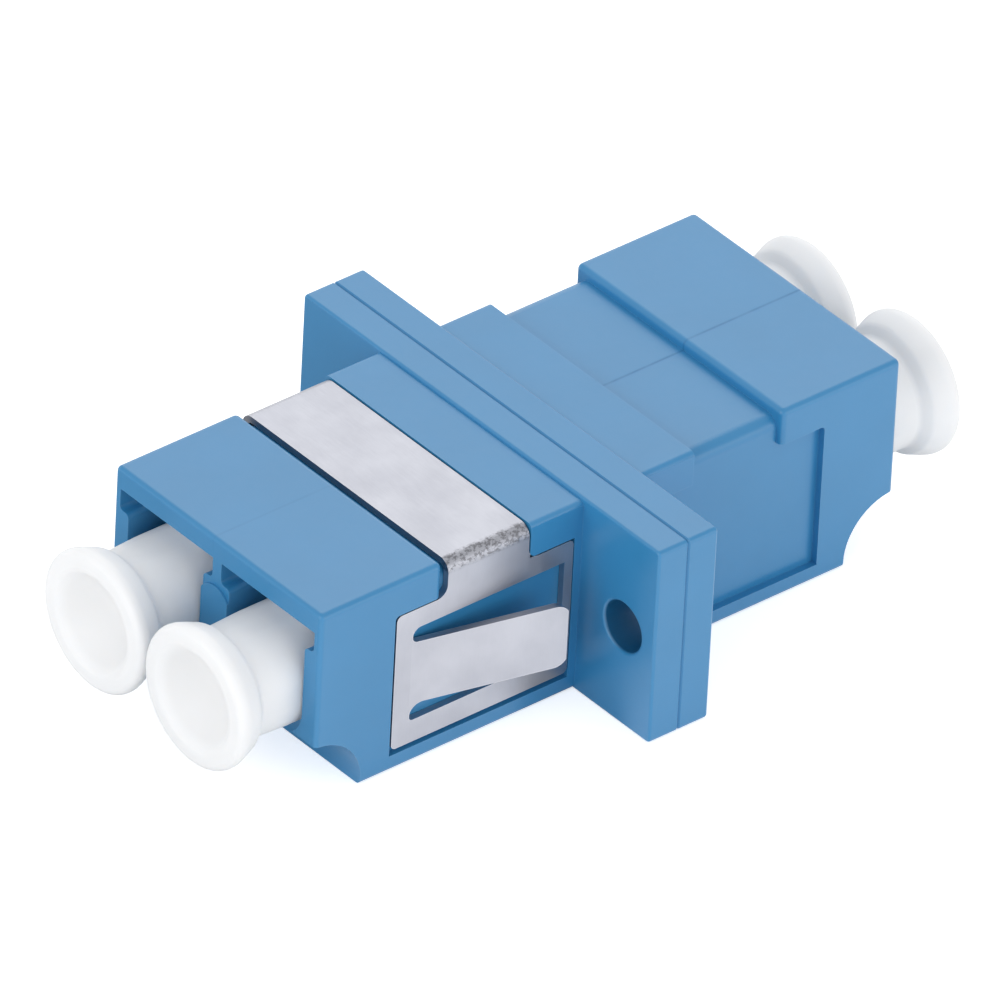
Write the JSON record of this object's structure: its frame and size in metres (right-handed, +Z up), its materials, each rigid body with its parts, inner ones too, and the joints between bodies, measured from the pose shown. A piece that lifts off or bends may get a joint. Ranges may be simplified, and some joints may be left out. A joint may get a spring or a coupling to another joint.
{
  "type": "flanged duplex fibre optic adapter",
  "caption": "Flanged duplex fibre optic coupler: welded plastic housing with side-by-side latch ports, folded steel retaining clip, split alignment sleeves and pull-off dust caps.",
  "frame": {"origin": "middle of the underside, on the joint plane of the flange and midway between the ports", "axes": "+X across the two ports, +Y along the fibre away from the end with the clip, +Z up to the strap side"},
  "size_m": [0.022, 0.0368, 0.0092],
  "materials": {
    "housing_plastic": "satin moulded plastic",
    "spring_steel": "bright rolled sheet",
    "sleeve_ceramic": "ground ceramic",
    "cap_plastic": "soft white plastic"
  },
  "bodies": {
    "coupler": {"front_housing": "housing_plastic", "rear_housing": "housing_plastic", "retaining_clip": "spring_steel", "split_sleeve_left": "sleeve_ceramic", "split_sleeve_right": "sleeve_ceramic"},
    "front_left_cap": {"dust_cap_front_left": "cap_plastic"},
    "front_right_cap": {"dust_cap_front_right": "cap_plastic"},
    "rear_left_cap": {"dust_cap_rear_left": "cap_plastic"},
    "rear_right_cap": {"dust_cap_rear_right": "cap_plastic"}
  },
  "joints": [
    {"name": "front_left_cap_slide", "type": "slide", "parent": "coupler", "child": "front_left_cap", "axis": [0, -1, 0], "range_m": [0, 0.014]},
    {"name": "front_right_cap_slide", "type": "slide", "parent": "coupler", "child": "front_right_cap", "axis": [0, -1, 0], "range_m": [0, 0.014]},
    {"name": "rear_left_cap_slide", "type": "slide", "parent": "coupler", "child": "rear_left_cap", "axis": [0, 1, 0], "range_m": [0, 0.014]},
    {"name": "rear_right_cap_slide", "type": "slide", "parent": "coupler", "child": "rear_right_cap", "axis": [0, 1, 0], "range_m": [0, 0.014]}
  ]
}
